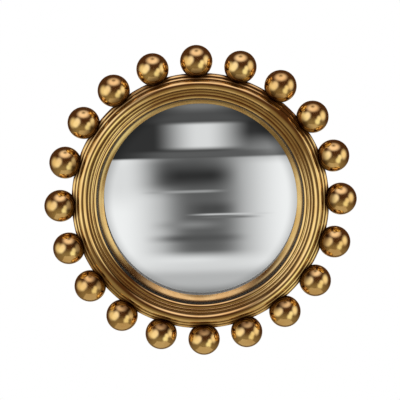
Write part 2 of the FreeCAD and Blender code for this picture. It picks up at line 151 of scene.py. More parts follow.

# %% [markdown]
# ## Gold leaf
#
# The frame is water gilt: leaf is laid over gesso and a warm clay, and burnished with a stone. That
# is a metal, so it has no colour but the one it gives to reflections. The stone leaves it almost as
# smooth as a mirror, a little rubbed where the clay glows through, and never perfectly flat. Last
# comes a dark umber tone: partly a wash of umber, which is wiped off and stays where the cloth
# can't reach, and partly painted shade in the corners, the quirks and under the slip. The pieces
# carry that as an attribute, which is worked out with their shape.

# %% The gilding
LEAF = "#FFDC9A"
LEAF_OVER_CLAY = "#F3C985"
# umber tone laid on the gold: partly a real wash, partly painted shade in corners and quirks
UMBER_WASH_AND_SHADE = "#57351A"
LEAF_CLOUD = 30               # mm across a patch where the clay glows through more or less
RUBBING = 0.03                # by how much the roughness goes up and down between such patches
GESSO_RIPPLE = 9              # mm from one low hump left by the gesso brush to the next


def gilding(name, roughness, ripple_height):
    """Gold leaf: two tones of gold mixed by a soft noise, on a ground that ripples very slightly.

    Colour = gold * (1 - shade) + umber * shade, where shade is the attribute that holds an umber
    wash and painted shade. The roughness falls by 2 * RUBBING as the noise rises, and the ripple
    bumps the surface by ripple_height in millimetres.
    """
    material, tree, shader, place = principled(name, Metallic=1.0)
    cloud = add(tree, "ShaderNodeTexNoise", {
        "Vector": place, "Scale": 1 / (LEAF_CLOUD * MM), "Detail": 3.0}).outputs["Fac"]
    gold = two_tones(tree, cloud, LEAF_OVER_CLAY, LEAF, start=0.35, end=0.6)
    # darker where the attribute says so: an umber wash together with painted shade in the hollows
    wash_and_shade = add(tree, "ShaderNodeAttribute", attribute_name="wash_and_shade").outputs["Fac"]
    toned_and_shaded = add(tree, "ShaderNodeMix", {
        MIX_SHARE: wash_and_shade, MIX_FROM: gold, MIX_TO: linear(UMBER_WASH_AND_SHADE)}, data_type="RGBA")
    tree.links.new(toned_and_shaded.outputs[MIX_RESULT], shader.inputs["Base Color"])
    rubbed = add(tree, "ShaderNodeMapRange", {
        "Value": cloud, "From Min": NOISE_LOW, "From Max": NOISE_HIGH,
        "To Min": roughness + RUBBING, "To Max": roughness - RUBBING})
    tree.links.new(rubbed.outputs["Result"], shader.inputs["Roughness"])
    gesso = add(tree, "ShaderNodeTexNoise", {
        "Vector": place, "Scale": 1 / (GESSO_RIPPLE * MM), "Detail": 1.0})
    ripple = add(tree, "ShaderNodeBump", {
        "Height": gesso.outputs["Fac"], "Distance": ripple_height * MM, "Strength": 1.0})
    tree.links.new(ripple.outputs["Normal"], shader.inputs["Normal"])
    print(f"{name}: roughness {roughness}, ripple {ripple_height} mm")
    return material


ball_gilding = gilding("water_gilt_ball", 0.14, 0.04)
frame_gilding = gilding("water_gilt_moulding", 0.07, 0.03)
liner_gilding = gilding("water_gilt_liner", 0.20, 0.03)

# %% [markdown]
# ## The slip
#
# The slip is stained black like ebony and waxed: a dark surface with a dull gloss. That is the same
# all over, so its colour and roughness are set on the shader itself.

# %% Ebonised slip
slip_black, *_ = principled("ebonised_and_waxed_slip", **{
    "Base Color": linear("#17110B"), "Roughness": 0.4})
print("slip:", slip_black.name)

# %% [markdown]
# ## Silvered glass
#
# The glass is silvered behind, and what the eye meets is the silver: a mirror of a slightly cool
# grey. Its colour is painted darker over the last 20 mm before the edge, as painted shade along the
# frame. Along the lower edge, where damp gathers, it has clouded, and scatters part of the light
# instead of mirroring it.

# %% Silvered glass
# the second colour is painted shade at the edge of the glass
SILVER, SHADED_SILVER_EDGE = "#F1F3F3", "#C4C6C6"
EDGE_SHADE_RADII = {"From Min": 154 * MM, "From Max": 176 * MM}      # radii over which the painted edge shade darkens it
DAMP_EDGE = {"From Min": 164 * MM, "From Max": 176 * MM}        # radii over which damp gets in
DAMP_BELOW = {"From Min": -20 * MM, "From Max": -110 * MM}      # heights over which it gathers
CLOUDED_METAL = 0.4           # what is left of the mirror where it is clouded most

silvering, tree, shader, place = principled("silvered_convex_glass", Roughness=0.0)
flat_place = add(tree, "ShaderNodeVectorMath", {0: place, 1: (1, 0, 1)},
                 operation="MULTIPLY").outputs[0]
off_axis = add(tree, "ShaderNodeVectorMath", {0: flat_place}, operation="LENGTH").outputs["Value"]
# painted shade: the silver's colour darkens towards the edge
edge_shade = add(tree, "ShaderNodeMapRange", {"Value": off_axis, **EDGE_SHADE_RADII},
               interpolation_type="SMOOTHSTEP").outputs["Result"]
tree.links.new(two_tones(tree, edge_shade, SILVER, SHADED_SILVER_EDGE, start=0, end=1),
               shader.inputs["Base Color"])
near_edge = add(tree, "ShaderNodeMapRange", {"Value": off_axis, **DAMP_EDGE},
                interpolation_type="SMOOTHSTEP").outputs["Result"]
height = add(tree, "ShaderNodeSeparateXYZ", {0: place}).outputs["Z"]
low_down = add(tree, "ShaderNodeMapRange", {"Value": height, **DAMP_BELOW},
               interpolation_type="SMOOTHSTEP").outputs["Result"]
damp = add(tree, "ShaderNodeMath", {0: near_edge, 1: low_down}, operation="MULTIPLY").outputs[0]
clear = add(tree, "ShaderNodeMapRange", {
    "Value": damp, "To Min": 1.0, "To Max": CLOUDED_METAL}).outputs["Result"]
tree.links.new(clear, shader.inputs["Metallic"])
print("silvering:", len(tree.nodes), "nodes")

# %% [markdown]
# ## The finishes behind
#
# The back is plain. Hardboard is pressed from brown fibre and dull, zinc plate is a pale metal with
# a soft gloss, nickel plate is warmer and brighter, and moulded rubber is nearly black. Inside are
# pale beech dowels, a ring of birch plywood and a ring of dark soft foam. Their fibres, pores and
# crystals are too fine to show, so the grain is drawn 1 to 6 mm wide, as coarse as it needs to be.

# %% Finishes of the back


def speckled(name, low, high, grain, roughness, metallic=0.0):
    """A plain material whose colour wanders between two tones at the size of its grain in mm."""
    material, tree, shader, place = principled(name, Roughness=roughness, Metallic=metallic)
    noise = add(tree, "ShaderNodeTexNoise", {
        "Vector": place, "Scale": 1 / (grain * MM), "Detail": 4.0})
    tree.links.new(two_tones(tree, noise.outputs["Fac"], low, high), shader.inputs["Base Color"])
    return material


hardboard = speckled("pressed_hardboard", "#5A3D26", "#76543A", 3, 0.55)
plywood = speckled("birch_plywood", "#B48F5E", "#D3B180", 6, 0.6)
beech = speckled("turned_beech", "#B98A5E", "#CFA477", 4, 0.55)
foam = speckled("soft_foam", "#3A3A3A", "#4A4A4A", 1, 0.9)
rubber = speckled("moulded_rubber", "#1A1A1B", "#232324", 2, 0.6)
zinc = speckled("zinc_plated_screw", "#B9BCBD", "#D2D4D3", 5, 0.3, 1.0)
nickel = speckled("nickel_plated_steel", "#C9C5BC", "#D8D4CB", 6, 0.22, 1.0)

FINISHES = {
    "front_ring": frame_gilding, "back_ring": frame_gilding, "black_slip": slip_black,
    "sight_liner": liner_gilding, "mirror_glass": silvering, "foam_ring": foam,
    "packing_ring": plywood, "backing_board": hardboard, "backing_screws": zinc,
    "ring_screws": zinc, "ball_dowels": beech, "hanger_strap": nickel, "hanging_loop": nickel,
    "hanger_screws": zinc, "wall_pads": rubber,
}
for name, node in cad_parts.items():
    for material_slot in node.material_slots:
        material_slot.material = FINISHES.get(name, ball_gilding)
print("finished nodes:", len(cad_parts))

# %% [markdown]
# ## Where the wash and the painted shade go
#
# A cloth wipes the umber wash off whatever it reaches. It can't reach the three deeper quirks of
# the moulding, the line where the liner meets the slip, and the corners between balls and rim. The
# same dark tone is also painted shade there, where shade falls. So its strength at a point follows
# from how far the point is from each of those places.

# %% Strength of the wash and the painted shade
WASHED_AND_SHADED = ("gilt_frame", "gilt_ball", "gilt_liner")
WASH_AND_SHADE_STRENGTH = 0.85
WASH_AND_SHADE_REACH = 13.0             # mm from a ball or the rim to where the wash and painted shade fade out
QUIRK_REACH = 1.2             # mm from the middle of a quirk to where the wash and painted shade fade out
DEEP_QUIRKS = (200.5, 216.7, 222.0)    # radii beside the great half round, and the next one out
LINER_TOP = (180.0, 181.3)    # radii over which the wash and painted shade set in towards the slip
LINER_END = BORE_RADIUS - 2   # the liner in sight ends inside this radius


def eased(value, start, end):
    """Runs smoothly from 0 at start to 1 at end: t * t * (3 - 2 t)."""
    t = np.clip((value - start) / (end - start), 0, 1)
    return t * t * (3 - 2 * t)


def wash_and_painted_shade(points):
    """How much wash and painted shade a point gets: in the quirks, under the slip, and in the
    corners between balls and rim.

    In a corner it is the product of two fades, one with the distance to the nearest ball and one
    with the distance to the rim. With r the distance to the axis and a the angle to the nearest
    ball, that ball's middle is sqrt((r cos a - circle)^2 + (r sin a)^2 + (depth - ball depth)^2)
    away. The darkening is the strongest of the three places', times the strength of wash and shade.
    """
    radius = np.hypot(points[:, 0], points[:, 2])
    off = np.arctan2(points[:, 0], points[:, 2])
    off -= np.round(off / BALL_STEP) * BALL_STEP
    to_ball = np.sqrt((radius * np.cos(off) - BALL_CIRCLE) ** 2 + (radius * np.sin(off)) ** 2
                      + (points[:, 1] + BALL_DEPTH) ** 2) - BALL_RADIUS
    corner = eased(to_ball, WASH_AND_SHADE_REACH, 0) * eased(radius - RIM_RADIUS, WASH_AND_SHADE_REACH, 0)
    quirk = eased(np.abs(radius[:, None] - DEEP_QUIRKS).min(axis=1), QUIRK_REACH, 0)
    under_slip = eased(radius, *LINER_TOP) * (radius < LINER_END)
    return WASH_AND_SHADE_STRENGTH * np.maximum.reduce((corner, quirk, under_slip))


# the value printed is the umber wash together with the painted shade
print("wash in a deep quirk:", wash_and_painted_shade(np.array([[DEEP_QUIRKS[0], 0, 0]]))[0])

# %% [markdown]
# ## One way to make a turned piece
#
# A lathe carries one outline round an axis. The same is done here with numpy: the outline is a
# list of (radius, height) points, the turn is a list of angles, and every vertex is the pair of
# them, worked out in one go.

# %% Turning


def turned(outline, steps):
    """Points of an outline of (radius, height) carried round the Z axis, in a grid.

    x = radius * sin(angle), y = radius * cos(angle), z = height, over a full turn.
    """
    outline = np.asarray(outline, dtype=float)
    angle = np.linspace(0, 2 * math.pi, steps, endpoint=False)
    radius, height = outline[:, 0:1], outline[:, 1:2]
    return np.stack((radius * np.sin(angle), radius * np.cos(angle), height + 0 * angle), axis=-1)


def facing_front(grid):
    """Lays a piece's own axis along the axis of the glass: x' = x, y' = -z, z' = y."""
    return np.stack((grid[..., 0], -grid[..., 2], grid[..., 1]), axis=-1)


def grid_faces(grid):
    """Faces of a grid that closes up on itself, or ends in a pole at its first and last row.

    A face joins the points (row, column), (row, column + 1), (row + 1, column + 1) and
    (row + 1, column), counted round past the last column, and past the last row without poles.
    """
    rows, columns = grid.shape[:2]
    poles = np.allclose(grid[0], grid[0, 0])
    row, column = np.meshgrid(np.arange(rows - poles), np.arange(columns), indexing="ij")
    next_row = (row + 1) % rows
    next_column = (column + 1) % columns
    corners = (row * columns + column, row * columns + next_column,
               next_row * columns + next_column, next_row * columns + column)
    return np.stack(corners, axis=-1).reshape(-1, 4)


cone = turned([(0, 0), (1, 1)], 12)
print("a cone in 12 steps:", cone.shape[:2], "points,", len(grid_faces(cone)), "faces")

# %% [markdown]
# ## From points to a piece
#
# The seam and the poles of a turned piece are closed by merging what coincides, and its faces are
# turned outwards. The piece then rides on its body and stands in for its measured node.

# %% Building a mesh
MERGE_DISTANCE, SLIVER_EDGE = 1e-6, 1e-7    # metres


def made_piece(name, grids, material, slot, stands_for, body="frame"):
    """Closed grids of points in millimetres become one smooth mesh: each point times MM."""
    points, faces, count = [], [], 0
    for grid in grids:
        points.append(grid.reshape(-1, 3))
        faces.append(grid_faces(grid) + count)
        count += len(points[-1])
    mesh = bpy.data.meshes.new(name)
    mesh.from_pydata((np.concatenate(points) * MM).tolist(), [], np.concatenate(faces).tolist())
    shell = bmesh.new()
    shell.from_mesh(mesh)
    bmesh.ops.remove_doubles(shell, verts=shell.verts, dist=MERGE_DISTANCE)
    bmesh.ops.dissolve_degenerate(shell, edges=shell.edges, dist=SLIVER_EDGE)
    bmesh.ops.recalc_face_normals(shell, faces=shell.faces)
    shell.to_mesh(mesh)
    shell.free()
    mesh.polygons.foreach_set("use_smooth", np.ones(len(mesh.polygons), dtype=bool))
    # the attribute holds an umber wash and painted shade in corners, quirks and under the slip
    if slot in WASHED_AND_SHADED:
        place = np.empty(3 * len(mesh.vertices))
        mesh.vertices.foreach_get("co", place)
        wash_and_shade = mesh.attributes.new("wash_and_shade", "FLOAT", "POINT")
        wash_and_shade.data.foreach_set("value", wash_and_painted_shade(place.reshape(-1, 3) / MM))
    mesh.materials.append(material)
    piece = bpy.data.objects.new(name, mesh)
    bpy.context.scene.collection.objects.link(piece)
    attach(piece, body)
    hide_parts(*stands_for)
    print(f"{name}: {len(mesh.polygons)} faces")


# %% [markdown]
# ## Softened corners
#
# No corner of a gilded frame is sharp: gesso is brushed on in several coats and rubbed down. So
# each corner of an outline is traded for a short curve before it is turned. A point is kept a
# little before and after each curve, so that the flat parts still shade flat.

# %% Outline helpers
CURVE_POINTS = 4
PER_CORNER = CURVE_POINTS + 2    # points that softened() puts at each corner


def arc(start, end, swell, count):
    """A round from start to end that stands proud of the straight line by its swell.

    The points are the chord plus a circle's height above it: with c half the chord and s the
    swell, the circle has radius (c*c + s*s) / (2*s).
    """
    start, end = np.asarray(start, dtype=float), np.asarray(end, dtype=float)
    chord = end - start
    half = np.linalg.norm(chord) / 2
    side = np.array([-chord[1], chord[0]]) / (2 * half)
    ring = (half ** 2 + swell ** 2) / (2 * abs(swell))
    along = -half * np.cos(np.linspace(0, math.pi, count))
    height = np.sqrt(ring ** 2 - along ** 2) - (ring - abs(swell))
    share = (along + half) / (2 * half)
    return start + share[:, None] * chord + (math.copysign(1, swell) * height)[:, None] * side


def softened(corners, ease):
    """Each corner of a closed outline becomes a Bezier curve with the corner as its handle.

    The curve runs from `ease` before the corner to `ease` after it, never more than 0.3 of a side,
    and one more point lies half as far again on both sides. Its points are
    (1 - t)^2 * first + 2 t (1 - t) * corner + t^2 * last.
    """
    corners = np.asarray(corners, dtype=float)
    before = np.roll(corners, 1, axis=0) - corners
    after = np.roll(corners, -1, axis=0) - corners
    before_length = np.linalg.norm(before, axis=1, keepdims=True)
    after_length = np.linalg.norm(after, axis=1, keepdims=True)
    cut = np.minimum(ease, 0.3 * np.minimum(before_length, after_length))
    first = corners + before / before_length * cut
    last = corners + after / after_length * cut
    t = np.linspace(0, 1, CURVE_POINTS)[None, :, None]
    curve = ((1 - t) ** 2 * first[:, None] + 2 * t * (1 - t) * corners[:, None]
             + t ** 2 * last[:, None])
    lead = corners + before / before_length * cut * 1.5
    trail = corners + after / after_length * cut * 1.5
    return np.concatenate((lead[:, None], curve, trail[:, None]), axis=1).reshape(-1, 2)


print("top of a round with a swell of 1 mm:", arc((0, 0), (10, 0), 1, 3)[1])

# %% [markdown]
# ## The moulded front
#
# The moulding was turned from a ring glued up from segments. Three small beads step up from the
# slip to one great half round, and two more fall to the rim, with a narrow quirk between each two.
# Burnished rounds gather a whole room into thin bright lines, so each needs a true arc, with points
# set closer at its ends. The outline is drawn once and carried round in 720 steps.

# %% Outline of the moulding
LIP_RADIUS = 184.0
SLIP_FOOT, SLIP_TOP = depths("black_slip")
ROUNDS = (                     # width, rise, swell and step up to the next in mm, points
    (7.5, 1.5, 1.3, 1.8, 17),  # inner bead beside the slip
    (5.0, 0.6, 0.4, 2.0, 13),
    (4.0, 0.5, 0.25, 4.0, 11),
    (16.2, -4.5, 5.5, 0, 33),  # the great half round
    (5.3, -4.0, 1.2, 0, 11),
    (6.0, -5.6, 1.5, 0, 11),   # outermost bead, at the shoulder of the rim
)
QUIRK = 0.5                    # width of the line sunk between two rounds, and its depth


def moulded_outline():
    """Arcs from corner to corner, with a sunk point between each two of them.

    Each corner is the last one plus (width, rise), and then plus the step up.
    """
    corner = np.array([LIP_RADIUS, SLIP_TOP])
    outline = []
    for number, (width, rise, swell, step, points) in enumerate(ROUNDS):
        last = number == len(ROUNDS) - 1
        start = corner + (QUIRK / 2 if number else 0, 0)
        corner = corner + (width, rise)
        outline.append(arc(start, corner - (0 if last else QUIRK / 2, 0), swell, points))
        if not last:
            outline.append([corner - (0, QUIRK)])
            corner = corner + (0, step)
    return np.concatenate(outline)


moulding = moulded_outline()
SHOULDER_DEPTH = moulding[-1, 1]
print(f"moulding: {len(moulding)} points, crest {moulding[:, 1].max():.1f} mm from the wall, "
      f"shoulder {SHOULDER_DEPTH:.1f} mm")

# %% [markdown]
# ## Hollows for the balls
#
# Each ball sits in a hollow of the rim. A point that lies inside a ball is moved straight towards
# the axis of the glass until it lies on the ball's surface, which is what a cutter would leave.

# %% Cut the hollows
HOLLOW_GAP = 0.1              # glue line between ball and hollow
LIP_EASE = 0.4                # by how much the lip of the moulding is eased
RIM_START, RIM_ROWS = SHOULDER_DEPTH - 1, 7    # rows of points down the rim
RING_STEPS = 720


def hollowed(grid):
    """Moves the points that lie inside a ball to its surface.

    With a the angle to the nearest ball and d a point's depth, where
    s = ball^2 - (circle * sin a)^2 - (d - ball depth)^2 is positive, the point's radius
    becomes circle * cos a - sqrt(s).
    """
    radius = np.hypot(grid[..., 0], grid[..., 2])
    angle = np.arctan2(grid[..., 0], grid[..., 2])
    off = angle - np.round(angle / BALL_STEP) * BALL_STEP
    inside = ((BALL_RADIUS + HOLLOW_GAP) ** 2 - (BALL_CIRCLE * np.sin(off)) ** 2
              - (-grid[..., 1] - BALL_DEPTH) ** 2)
    hollow = BALL_CIRCLE * np.cos(off) - np.sqrt(np.maximum(inside, 0))
    radius = np.where(inside > 0, np.minimum(radius, hollow), radius)
    return np.stack((radius * np.sin(angle), grid[..., 1], radius * np.cos(angle)), axis=-1)


rim_side = [(RIM_RADIUS, depth) for depth in np.linspace(RIM_START, RING_JOINT, RIM_ROWS)]
bore = [(BORE_RADIUS, RING_JOINT), (BORE_RADIUS, SLIP_TOP), (LIP_RADIUS + LIP_EASE, SLIP_TOP)]
front_outline = np.concatenate((moulding, rim_side, bore))
made_piece("moulded_front", [hollowed(facing_front(turned(front_outline, RING_STEPS)))],
           frame_gilding, "gilt_frame", ["front_ring"])

# %% [markdown]
# ## The deep ring behind
#
# A second ring stands behind the moulded one and holds the glass in its rebate. Its outer side
# shows between the balls, so it gets the same hollows, and rows of points there to cut them from.

# %% Deep ring
REBATE_RADIUS = 179.0
SHELF = 29.25                 # depth of the shelf that the liner drops on to
BACK_BEVEL = 1.5
SIDE_START, SIDE_END, SIDE_ROWS = 16, RING_JOINT - 1.5, 16    # rows that the hollows are cut from

back_corners = softened([
    (REBATE_RADIUS, FRAME_BACK), (RIM_RADIUS - BACK_BEVEL, FRAME_BACK),
    (RIM_RADIUS, FRAME_BACK + BACK_BEVEL), (RIM_RADIUS, RING_JOINT), (BORE_RADIUS, RING_JOINT),
    (BORE_RADIUS, SHELF), (REBATE_RADIUS, SHELF)], ease=0.4)
side_rows = [(RIM_RADIUS, depth) for depth in np.linspace(SIDE_START, SIDE_END, SIDE_ROWS)]
CORNERS_BEFORE_SIDE = 3
back_outline = np.insert(back_corners, CORNERS_BEFORE_SIDE * PER_CORNER, side_rows, axis=0)
made_piece("deep_ring", [hollowed(facing_front(turned(back_outline, RING_STEPS)))],
           frame_gilding, "gilt_frame", ["back_ring"])

# %% [markdown]
# ## The slip in the opening
#
# The slip is a thin turned hoop that lines the opening, with its edges rubbed round.

# %% Slip
SLIP_FOOT_RADIUS = 182.0
SLIP_TOP_THICKNESS = 2.7
HOOP_STEPS = 360

slip_outline = softened([
    (SLIP_FOOT_RADIUS, SLIP_FOOT), (BORE_RADIUS, SLIP_FOOT), (BORE_RADIUS, SLIP_TOP),
    (BORE_RADIUS - SLIP_TOP_THICKNESS, SLIP_TOP)], ease=0.5)
made_piece("black_hoop", [facing_front(turned(slip_outline, HOOP_STEPS))],
           slip_black, "black_slip", ["black_slip"])

# %% [markdown]
# ## The liner
#
# Inside the slip lies a gilt hoop: a small bead, then a long, very shallow scoop down to the thin
# edge that lies on the glass. Arcs give both their curves, hollow for the scoop and proud for the
# bead, and the sight edge is eased as a coat of gesso eases it.

# %% Liner
SIGHT_RADIUS, SIGHT_DEPTH = 173.2, 26.65
SIGHT_EASE = 0.25
SIGHT_THICKNESS = 0.7         # from the glass up to where the scoop starts
UNDERCUT = 0.9                # the underside follows the glass back by so much
SCOOP_TOP = (180.8, 38.35)
SCOOP_SAG, SCOOP_POINTS = 0.5, 12
BEAD_SWELL, BEAD_POINTS = 0.5, 7

liner_outline = np.concatenate((
    [(SIGHT_RADIUS + SIGHT_EASE, SIGHT_DEPTH), (SIGHT_RADIUS, SIGHT_DEPTH + SIGHT_EASE)],
    arc((SIGHT_RADIUS, SIGHT_DEPTH + SIGHT_THICKNESS), SCOOP_TOP, -SCOOP_SAG, SCOOP_POINTS),
    arc(SCOOP_TOP, (SLIP_FOOT_RADIUS, SLIP_FOOT), BEAD_SWELL, BEAD_POINTS)[1:],
    [(BORE_RADIUS, SLIP_FOOT), (BORE_RADIUS, SHELF), (REBATE_RADIUS, SHELF),
     (REBATE_RADIUS, SIGHT_DEPTH - UNDERCUT)]))
made_piece("gilt_liner", [facing_front(turned(liner_outline, HOOP_STEPS))],
           liner_gilding, "gilt_liner", ["sight_liner"])

# %% [markdown]
# ## The glass
#
# A round plate of 4 mm glass was sagged in a kiln over a dish, so that its middle stands 12 mm in
# front of its edge, and was silvered behind. A mirror shows every flaw of its mesh, so the dome is
# an exact sphere, with rings of points at even steps from its middle.

# %% Glass
GLASS_RADIUS = reach("mirror_glass")
GLASS_MIDDLE = depths("mirror_glass")[1]
GLASS_RISE = 12.0
GLASS_THICKNESS = 4.0
GLASS_RINGS, GLASS_STEPS = 64, 240
GROUND_EDGE = 0.6             # mm at the edge that take closer rings of points,
EDGE_RINGS = (0.4, 0.15, 0.0)    # so far in from it
DOME_RADIUS = (GLASS_RADIUS ** 2 + GLASS_RISE ** 2) / (2 * GLASS_RISE)


def dome(sphere, radius):
    """Points (r, centre + sqrt(sphere^2 - r^2)), where both domes have the same centre."""
    height = GLASS_MIDDLE - DOME_RADIUS + np.sqrt(sphere ** 2 - radius ** 2)
    return np.stack((radius, height), axis=-1)


even_steps = np.linspace(0, GLASS_RADIUS - GROUND_EDGE, GLASS_RINGS)
edge_steps = GLASS_RADIUS - np.array(EDGE_RINGS)
front_of_glass = dome(DOME_RADIUS, np.concatenate((even_steps, edge_steps)))
back_of_glass = dome(DOME_RADIUS - GLASS_THICKNESS, even_steps[::-4])    # every fourth ring
glass_outline = np.concatenate((front_of_glass, back_of_glass))
made_piece("convex_glass", [facing_front(turned(glass_outline, GLASS_STEPS))],
           silvering, "silvered_glass", ["mirror_glass"])
print(f"dome of {DOME_RADIUS:.0f} mm radius")

# %% [markdown]
# ## The balls
#
# Each ball was turned on its own dowel, so its outline is carried round the line that points out
# from the middle of the mirror. A hand-held gouge never leaves a perfect sphere: faint waves, a
# tenth of a millimetre high and different on each ball, make each catch the light its own way.

# %% Twenty balls
BALL_ROWS, BALL_STEPS = 49, 72
BALL_WAVE = 0.05              # mm, half the height of a wave
WAVE_SHIFT = 2.4              # radians from the waves of one ball to those of the next


def ball_outline(number):
    """Half a circle from pole to pole, its radius lowered by
    BALL_WAVE * (1 + sin(3 * angle + WAVE_SHIFT * number))."""
    angle = np.linspace(0, math.pi, BALL_ROWS)
    radius = BALL_RADIUS - BALL_WAVE * (1 + np.sin(3 * angle + WAVE_SHIFT * number))
    return np.stack((radius * np.sin(angle), radius * np.cos(angle)), axis=-1)


def carried(grid, angle):
    """Turns a grid clockwise about the axis of the glass by an angle a:
    x' = x cos a + z sin a, z' = z cos a - x sin a."""
    x, y, z = np.moveaxis(grid, -1, 0)
    cosine, sine = math.cos(angle), math.sin(angle)
    return np.stack((x * cosine + z * sine, y, z * cosine - x * sine), axis=-1)


for number in range(BALL_COUNT):
    ball = turned(ball_outline(number), BALL_STEPS) + (0, -BALL_DEPTH, BALL_CIRCLE)
    made_piece(f"turned_ball_{number + 1:02d}", [carried(ball, number * BALL_STEP)],
               ball_gilding, "gilt_ball", [f"ball_{number + 1:02d}"])

# %% [markdown]
# ## Screws with crossed slots
#
# Pan-head screws hold the back. A die presses the crossed slot into the head, so the head is
# turned as a dome first and its points inside two crossed bars are then pushed in.

# %% A pan-head screw
HEAD_ROWS, HEAD_STEPS = 17, 64
HEAD_SIDE = 0.25              # share of the head's height that its upright side takes
SLOT_DEPTH = 0.6              # share of the head's height
SLOT_HALF = (0.26, 0.14)      # half the width of a bar at its top and at its bottom, and
SLOT_REACH = (0.62, 0.48)     # half its length there, all as shares of the head's radius
NECK, TIP = 0.2, 0.1          # mm by which the neck is eased, and of the blunt tip


def pan_screw(diameter, length, head_diameter, head_height, slot_turn):
    """A screw along Z, its seat at 0, its point at z = length and its head below, down to -height.

    The head falls from its middle as height * (side + (1 - side) * sqrt(1 - (r / rim)^2)) does.
    Inside a cross of two bars it is pushed in by a share of its height. Below the seat come an
    eased neck, the shank, a cone and a blunt point.
    """
    rim = head_diameter / 2
    radius = np.linspace(0, rim, HEAD_ROWS)
    height = -head_height * (HEAD_SIDE + (1 - HEAD_SIDE) * np.sqrt(1 - (radius / rim) ** 2))
    head = turned(np.stack((radius, height), axis=-1), HEAD_STEPS)
    along = head[..., 0] * math.cos(slot_turn) + head[..., 1] * math.sin(slot_turn)
    aside = head[..., 1] * math.cos(slot_turn) - head[..., 0] * math.sin(slot_turn)
    bars = np.minimum(np.abs(along), np.abs(aside)) / rim
    ends = np.maximum(np.abs(along), np.abs(aside)) / rim
    head[..., 2] += SLOT_DEPTH * head_height * eased(bars, *SLOT_HALF) * eased(ends, *SLOT_REACH)
    shank = diameter / 2
    stem = turned([(rim, 0), (shank + NECK, 0), (shank, NECK), (shank, length - diameter),
                   (diameter / 8, length - TIP), (0, length)], HEAD_STEPS)
    return np.concatenate((head, stem))


# %% [markdown]
# ## Where the screws sit
#
# Ten of them hold the board, one behind every second gap between the balls, and two hold the strap
# of the hanger. Each slot stopped at its own angle when its screw was tight, so no two agree.

# %% Screws of the board and of the hanger
BOARD_SCREW = (3.5, 18.0, 7.0, 2.2)    # diameter, length, head diameter and head height
STRAP_SCREW = (3.5, 16.0, 6.8, 1.9)
BOARD_BACK = depths("backing_board")[0]
SCREW_INSET = 8.0             # mm from the edge of the board
SCREW_CIRCLE = reach("backing_board") - SCREW_INSET
FIRST_SCREW = 1.5             # steps from the first ball
NEXT_SLOT = 1.9               # radians from one screw's slot to the next one's

board_screws = []
for number in range(BALL_COUNT // 2):
    screw = facing_front(pan_screw(*BOARD_SCREW, NEXT_SLOT * number))
    screw = screw + (0, -BOARD_BACK, SCREW_CIRCLE)
    board_screws.append(carried(screw, (2 * number + FIRST_SCREW) * BALL_STEP))
made_piece("board_screws", board_screws, zinc, "zinc_screw", ["backing_screws"])

HINGE_LOW, HINGE_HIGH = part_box("hanging_loop")
WIRE = (HINGE_HIGH[1] - HINGE_LOW[1]) / 2 / MM    # radius of the loop's wire
HINGE_HEIGHT = HINGE_LOW[2] / MM + WIRE
STRAP_THICKNESS = 1.2
STRAP_HOLES = ((9.5, 0.4), (22.0, 1.1))    # mm below the hinge, and the turn of the slot
strap_screws = [facing_front(pan_screw(*STRAP_SCREW, slot_turn))
                + (0, STRAP_THICKNESS - BOARD_BACK, HINGE_HEIGHT - drop)
                for drop, slot_turn in STRAP_HOLES]
made_piece("strap_screws", strap_screws, zinc, "zinc_screw", ["hanger_screws"])

# %% [markdown]
# ## The hanging loop
#
# A length of nickel-plated wire is bent round a former into a D and its ends are butted inside the
# eye. The wire is a circle carried along that D: straight below, small bends at the corners, and a
# half circle on top.

# %% Hanging loop
HINGE_DEPTH = -(HINGE_LOW[1] + HINGE_HIGH[1]) / 2 / MM
LOOP_HALF = 11.0
LOOP_CORNER = 3.5
LOOP_SHOULDER = 5.0           # height of the half circle's centre above the hinge
WIRE_SIDES = 24
LOOP_ARCS = (                 # centre across and up, radius in mm, first and last angle, points
    (LOOP_HALF - LOOP_CORNER, LOOP_CORNER, LOOP_CORNER, -90, 0, 9),
    (0, LOOP_SHOULDER, LOOP_HALF, 0, 180, 37),
    (LOOP_CORNER - LOOP_HALF, LOOP_CORNER, LOOP_CORNER, 180, 270, 9),
)


def wire_loop():
    """Point = middle of the wire + wire * (outward * cos b + forward * sin b).

    The middle runs over three arcs, each its centre + radius * outward, and outward is
    (cos a, sin a) across and up.
    """
    middle, outward = [], []
    for across, up, radius, first, last, count in LOOP_ARCS:
        angle = np.radians(np.linspace(first, last, count))
        outward.append(np.stack((np.cos(angle), 0 * angle, np.sin(angle)), axis=-1))
        middle.append(outward[-1] * radius + (across, -HINGE_DEPTH, HINGE_HEIGHT + up))
    middle, outward = np.concatenate(middle)[:, None], np.concatenate(outward)[:, None]
    around = np.linspace(0, 2 * math.pi, WIRE_SIDES, endpoint=False)[None, :, None]
    return middle + WIRE * (outward * np.cos(around) + np.array((0, 1, 0)) * np.sin(around))


made_piece("wire_loop", [wire_loop()], nickel, "plated_steel", ["hanging_loop"], body="loop")

# %% [markdown]
# ## Rubber pads
#
# Four moulded pads keep the back off the wall. Each is a short cone with rounded edges.

# %% Pads
PAD_RADIUS, PAD_TAPER = 9.5, 1.0
PAD_EASE = 0.9
PAD_INSET = 7.5               # mm from the edge of the board
PAD_CIRCLE = reach("backing_board") - PAD_INSET - PAD_RADIUS
PAD_PLACES = (2, 8, -8, -2)   # steps from the first ball, clockwise
PAD_STEPS = 48

pad_corners = np.array([
    (0, 0), (PAD_RADIUS - PAD_TAPER, 0), (PAD_RADIUS, BOARD_BACK), (0, BOARD_BACK)])
pad_edges = softened(pad_corners, PAD_EASE)[PER_CORNER:-PER_CORNER]
pad_outline = np.concatenate((pad_corners[:1], pad_edges, pad_corners[-1:]))
pad = facing_front(turned(pad_outline, PAD_STEPS)) + (0, 0, PAD_CIRCLE)
made_piece("rubber_pads", [carried(pad, step * BALL_STEP) for step in PAD_PLACES],
           rubber, "rubber_pad", ["wall_pads"])

